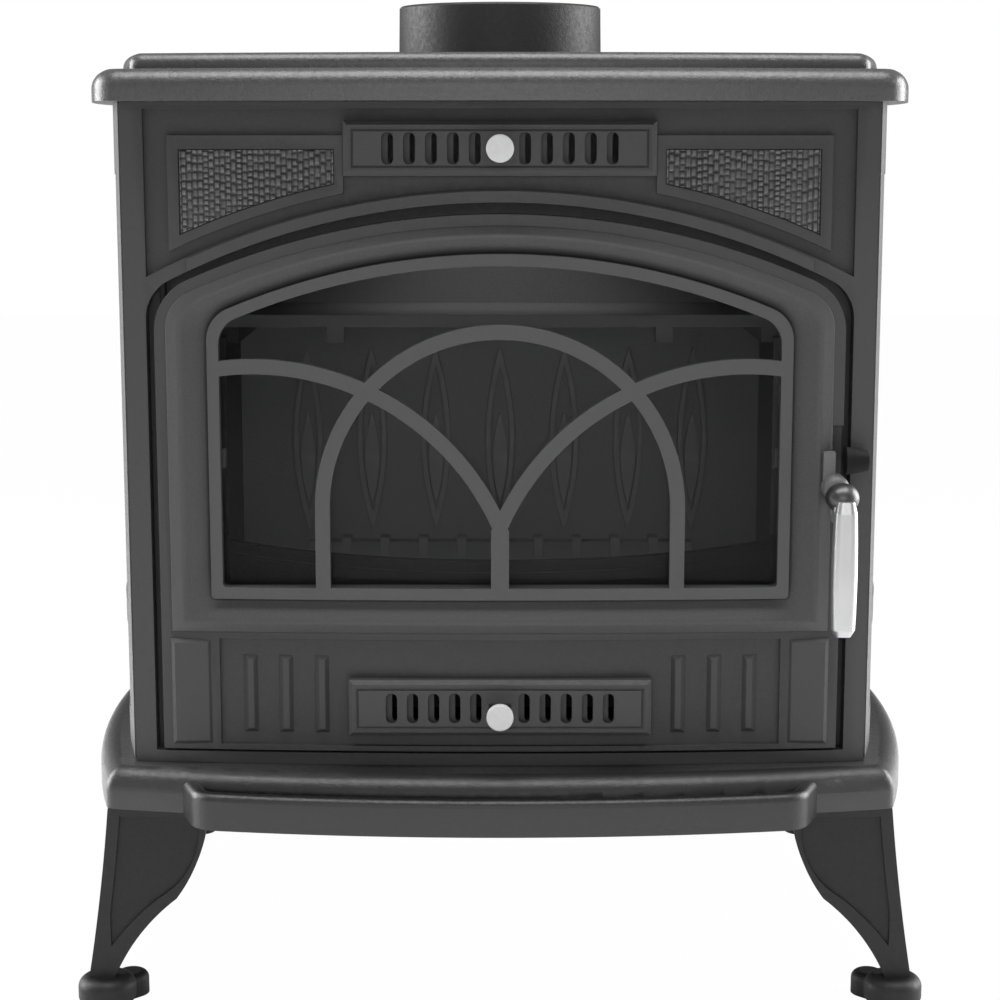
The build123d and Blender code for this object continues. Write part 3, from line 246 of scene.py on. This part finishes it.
def clear_glass(name):
    """Stove glass: nearly clear, with a faint smoky film towards its foot."""
    n = Nodes(name)
    low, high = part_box("door_glass")
    film = n.ramp(n.place()[2], low.z, high.z, 0.12, 0.07)
    smoke = n.noise(9.0, 3.0)
    colour = n.mix(smoke, grey(0.02), grey(0.05))
    shader = n.add("ShaderNodeBsdfPrincipled", {"Base Color": colour, "Roughness": 0.06, "Alpha": film})
    return n.surface(shader.outputs[0])


MATERIALS = {
    "black_iron": iron("black_iron", 0.047, roughness=0.5),
    "lattice_iron": iron("lattice_iron", 0.070, grain=0.7, roughness=0.5, edge=1.2),
    "fire_iron": iron("fire_iron", 0.11, roughness=0.6, edge=1.4),
    "sheet_steel": iron("sheet_steel", 0.050, grain=0.3, roughness=0.55),
    "dark_iron": iron("dark_iron", 0.008, grain=0.8, roughness=0.6, shine=0.2),
    "plain_steel": satin_metal("plain_steel", 0.35, roughness=0.42),
    "bright_metal": satin_metal("bright_metal", 0.68),
    "glass": clear_glass("stove_glass"),
    "rope": rope_cloth("rope"),
}
MOULD_IRON = iron("mould_iron", 0.066, roughness=0.5)
# Painted highlight: the sharp ridges of the weave are painted four times lighter.
WEAVE_IRON = iron("weave_iron", 0.07, grain=0.5, roughness=0.32, edge=4.0)
KNUCKLE_METAL = satin_metal("knuckle_metal", 0.12, roughness=0.38)
# Painted shade: a darker copy of the black iron for the legs, with upward faces darkened more.
SHADED_LEG_IRON = iron("shaded_leg_iron", 0.018, roughness=0.5, upward_shade=0.4, shine=0.3)
# Painted shade: a darker copy of the fire iron for the log guard, the firebox floor and the left side liner.
DIM_IRON = iron("dim_iron", 0.022, roughness=0.7, edge=1.4)
OWN_MATERIALS = {
    "leg_front_left": SHADED_LEG_IRON,
    "leg_front_right": SHADED_LEG_IRON,
    "leg_rear_left": SHADED_LEG_IRON,
    "leg_rear_right": SHADED_LEG_IRON,
    # Painted shade: a darker copy of the black iron for the flue collar.
    "flue_collar": iron("shaded_collar_iron", 0.018, roughness=0.5, shine=0.35),
    "back_liner": iron("back_iron", 0.24, roughness=0.6, edge=1.4),
    "log_guard": DIM_IRON,
    "firebox_floor": DIM_IRON,
    "side_liner_left": DIM_IRON,
    "upper_air_knob": knob_metal("upper_knob_metal", "upper_air_knob"),
    "lower_air_knob": knob_metal("lower_knob_metal", "lower_air_knob"),
    "latch_hub": iron("hub_iron", 0.15, grain=0.5, roughness=0.4),
    "door_casting": iron("door_iron", 0.043, roughness=0.5),
    "top_plate": iron("top_iron", 0.062, roughness=0.30, shine=0.6),
    # Painted shade: a slightly darker copy of the black iron, upward faces darkened, and a painted shadow low
    # on the front behind the ash lip.
    "base_plate": iron("shaded_base_iron", 0.040, roughness=0.34, upward_shade=0.5, shine=0.5, shadow=TROUGH),
    # Painted shade: a darker copy of the black iron for the ash lip, with upward faces darkened more.
    "ash_lip": iron("shaded_lip_iron", 0.024, roughness=0.36, upward_shade=0.3, shine=0.5),
}


def dress_nodes():
    for part in frame["record"]["subparts"]:
        name = part["node"]
        material = OWN_MATERIALS.get(name) or MATERIALS[part["material_slot"]]
        mesh = NODES[name].data
        mesh.materials.clear()
        mesh.materials.append(material)


def add_mesh(name, verts, faces, material, body):
    """A smooth piece from points in millimetres, riding on its body."""
    mesh = bpy.data.meshes.new(name)
    mesh.from_pydata([Vector(v) * MM for v in verts], [], faces)
    mesh.validate()
    mesh.polygons.foreach_set("use_smooth", [True] * len(mesh.polygons))
    mesh.materials.append(material)
    piece = bpy.data.objects.new(name, mesh)
    bpy.context.scene.collection.objects.link(piece)
    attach(piece, body)
    return piece


def grid_faces(rows, columns, closed=False):
    """Quads between rows of points, closed round when asked."""
    faces = []
    for i in range(rows - 1):
        for j in range(columns - (0 if closed else 1)):
            k = (j + 1) % columns
            faces.append((i * columns + j, i * columns + k, (i + 1) * columns + k, (i + 1) * columns + j))
    return faces


def weave_height(x, z, dashes):
    """Height of the hammered weave: rows of short uneven upright ridges."""
    column = math.floor(x / WEAVE_PITCH)
    across = (x / WEAVE_PITCH - column) * 2 - 1
    shift, length = dashes[column % len(dashes)]
    row = (z + shift * WEAVE_ROW) / (WEAVE_ROW * length)
    cell = math.floor(row)
    along = (row - cell) * 2 - 1
    lift = 0.35 + 0.65 * dashes[(column * 7 + cell * 13) % len(dashes)][0]
    return lift * (1 - across ** 4) * (1 - abs(along) ** 3)


def spandrel_weave(side, name):
    """Textured panel in one spandrel, closed at its back."""
    rng = random.Random(11 + side)
    dashes = [(rng.random(), 0.7 + 0.9 * rng.random()) for _ in range(WEAVE_DASHES)]
    columns = int((INSET_HALF_W - INSET_IN) / WEAVE_STEP) + 1
    rows = WEAVE_ROWS
    front = []
    for i in range(rows):
        for j in range(columns):
            x = -INSET_HALF_W + (INSET_HALF_W - INSET_IN) * j / (columns - 1)
            foot = INSET_ARC_TOP - INSET_ARC_R + math.sqrt(INSET_ARC_R ** 2 - x ** 2)
            z = foot + (INSET_TOP - foot) * i / (rows - 1)
            edge = i in (0, rows - 1) or j in (0, columns - 1)
            rise = 0.0 if edge else WEAVE_RISE * weave_height(x, z, dashes)
            front.append((-side * x, front_y(x, INSET_FLOOR - WEAVE_FOOT) - rise, z))
    back = [(x, front_y(x, INSET_FLOOR - WEAVE_BACK), z) for x, _, z in front]
    count = len(front)
    faces = grid_faces(rows, columns)
    faces += [tuple(reversed([v + count for v in face])) for face in faces]
    loop = list(range(columns)) + [i * columns + columns - 1 for i in range(1, rows)]
    loop += [(rows - 1) * columns + j for j in range(columns - 2, -1, -1)]
    loop += [i * columns for i in range(rows - 2, 0, -1)]
    for a, b in zip(loop, loop[1:] + loop[:1]):
        faces.append((b, a, a + count, b + count))
    if side > 0:
        faces = [tuple(reversed(face)) for face in faces]
    return add_mesh(name, front + back, faces, WEAVE_IRON, "stove")


def arched_outline(half_w, bottom, top, arc_r, corner_r, side_steps=8, corner_steps=12, arc_steps=60,
                   foot_steps=30):
    """Points round an arched opening, from the bottom left, clockwise, the same count for any size."""
    centre = top - arc_r
    hub_x = half_w - corner_r
    hub_z = centre + math.sqrt((arc_r - corner_r) ** 2 - hub_x ** 2)
    end_angle = math.atan2(hub_z - centre, hub_x)
    left = [(-half_w, bottom + (hub_z - bottom) * k / side_steps) for k in range(side_steps)]
    for k in range(corner_steps):
        turn = math.pi - end_angle * k / corner_steps
        left.append((-hub_x + corner_r * math.cos(turn), hub_z + corner_r * math.sin(turn)))
    arc = []
    for k in range(arc_steps + 1):
        turn = math.pi - end_angle - (math.pi - 2 * end_angle) * k / arc_steps
        arc.append((arc_r * math.cos(turn), centre + arc_r * math.sin(turn)))
    right = [(-x, z) for x, z in reversed(left)]
    foot = [(half_w - 2 * half_w * k / foot_steps, bottom) for k in range(1, foot_steps)]
    return left + arc + right + foot


def door_moulding():
    """Moulding, bevelled round its outside, from the door's border in to the tracery's frame."""
    rings = []
    for along, depth in MOULD_PROFILE:
        size = {key: MOULD[key] + (WINDOW_EDGE[key] - MOULD[key]) * along for key in MOULD}
        outline = arched_outline(**size)
        rings.append([(x, front_y(x, DOOR_FACE - MOULD_LIFT + MOULD_DEPTH * depth), z) for x, z in outline])
    outer = [(x, y + MOULD_HEM[0], z) for x, y, z in rings[0]]
    inner = [(x, y + MOULD_HEM[1], z) for x, y, z in rings[-1]]
    rings = [outer] + rings + [inner]
    verts = [v for ring in rings for v in ring]
    columns = len(rings[0])
    faces = [tuple(reversed(f)) for f in grid_faces(len(rings), columns, closed=True)]
    return add_mesh("door_moulding", verts, faces, MOULD_IRON, "door")


def latch_knuckle():
    """Satin knuckle between the latch hub and the top of the grip."""
    hub_low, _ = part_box("latch_hub")
    grip_low, grip_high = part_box("handle_grip")
    anchor = ((grip_low.x + grip_high.x) / 2 / MM, hub_low.y / MM, grip_high.z / MM)
    centre = tuple(a + shift for a, shift in zip(anchor, KNUCKLE_SHIFT))
    radii = KNUCKLE_RADII
    rings, columns = KNUCKLE_RINGS, KNUCKLE_COLUMNS
    verts = []
    for i in range(1, rings):
        tilt = math.pi * i / rings
        for j in range(columns):
            turn = 2 * math.pi * j / columns
            unit = (math.sin(tilt) * math.cos(turn), math.sin(tilt) * math.sin(turn), math.cos(tilt))
            verts.append(tuple(c + r * u for c, r, u in zip(centre, radii, unit)))
    faces = [tuple(reversed(face)) for face in grid_faces(rings - 1, columns, closed=True)]
    top, bottom = len(verts), len(verts) + 1
    verts += [(centre[0], centre[1], centre[2] + radii[2]), (centre[0], centre[1], centre[2] - radii[2])]
    last = (rings - 2) * columns
    for j in range(columns):
        k = (j + 1) % columns
        faces.append((top, j, k))
        faces.append((bottom, last + k, last + j))
    return add_mesh("latch_knuckle", verts, faces, KNUCKLE_METAL, "latch")


def floor_finish():
    """Backdrop that shows white to the camera and takes a little of the object's shadow."""
    n = Nodes("floor_finish")
    light = n.add("ShaderNodeLightPath")
    glow = n.add("ShaderNodeEmission", {"Color": (1.0, 1.0, 1.0, 1.0), "Strength": 1.0}).outputs[0]
    seen = n.product(light.outputs["Is Camera Ray"], FLOOR_WHITE)
    colour = n.mix(n.noise(3.0), (0.80, 0.80, 0.80), (0.84, 0.84, 0.84))
    plain = n.add("ShaderNodeBsdfDiffuse", {"Color": colour}).outputs[0]
    return n.surface(n.add("ShaderNodeMixShader", {0: seen, 1: plain, 2: glow}).outputs[0])


def studio_floor():
    mesh = bpy.data.meshes.new("studio_floor")
    corners = [(x * FLOOR_REACH, y * FLOOR_REACH, 0) for x, y in ((-1, -1), (1, -1), (1, 1), (-1, 1))]
    mesh.from_pydata(corners, [], [(0, 1, 2, 3)])
    mesh.materials.append(floor_finish())
    floor = bpy.data.objects.new("studio_floor", mesh)
    bpy.context.scene.collection.objects.link(floor)


def studio_world():
    """Plain light all round, seen as white by the camera and through the glass."""
    world = bpy.data.worlds.new("studio")
    world.use_nodes = True
    tree = world.node_tree
    tree.nodes.clear()
    out = tree.nodes.new("ShaderNodeOutputWorld")
    light = tree.nodes.new("ShaderNodeLightPath")
    seen = tree.nodes.new("ShaderNodeMath")
    seen.operation = "MAXIMUM"
    tree.links.new(light.outputs["Is Camera Ray"], seen.inputs[0])
    tree.links.new(light.outputs["Is Transmission Ray"], seen.inputs[1])
    mix = tree.nodes.new("ShaderNodeMixShader")
    tree.links.new(seen.outputs[0], mix.inputs[0])
    for index, strength in ((1, WORLD_LEVEL), (2, 1.0)):
        level = tree.nodes.new("ShaderNodeBackground")
        level.inputs["Color"].default_value = (1.0, 1.0, 1.0, 1.0)
        level.inputs["Strength"].default_value = strength
        tree.links.new(level.outputs[0], mix.inputs[index])
    tree.links.new(mix.outputs[0], out.inputs["Surface"])
    bpy.context.scene.world = world


def area_light(name, place, target, size, watts):
    data = bpy.data.lights.new(name, "AREA")
    data.shape = "RECTANGLE"
    data.size, data.size_y = size
    data.energy = watts
    lamp = bpy.data.objects.new(name, data)
    lamp.location = place
    lamp.rotation_euler = (Vector(target) - Vector(place)).to_track_quat("-Z", "Y").to_euler()
    bpy.context.scene.collection.objects.link(lamp)


def studio_lights():
    area_light("top_light", (0.0, -0.35, 2.6), (0.0, 0.0, 0.4), (2.6, 1.4), 70)
    area_light("left_light", (-2.0, 0.5, 0.8), (0.0, 0.0, 0.35), (1.4, 1.6), 64)
    area_light("right_light", (2.0, 0.5, 0.8), (0.0, 0.0, 0.35), (1.4, 1.6), 68)
    area_light("front_light", (0.0, -3.4, 1.2), (0.0, 0.0, 0.35), (2.4, 1.6), 19)


def camera():
    data = bpy.data.cameras.new("camera")
    data.lens = CAMERA_LENS
    data.sensor_width = 36.0
    data.clip_end = 50.0
    view = bpy.data.objects.new("camera", data)
    view.location = (0.0, (FRONT_Y - CAMERA_DISTANCE) * MM, CAMERA_HEIGHT * MM)
    view.rotation_euler = Euler((math.radians(90.0 - CAMERA_PITCH), 0.0, 0.0))
    bpy.context.scene.collection.objects.link(view)
    bpy.context.scene.camera = view


camera()
studio_world()
studio_lights()
studio_floor()
dress_nodes()
spandrel_weave(-1, "spandrel_weave_right")
spandrel_weave(1, "spandrel_weave_left")
door_moulding()
latch_knuckle()

bpy.context.scene.view_settings.view_transform = "Standard"
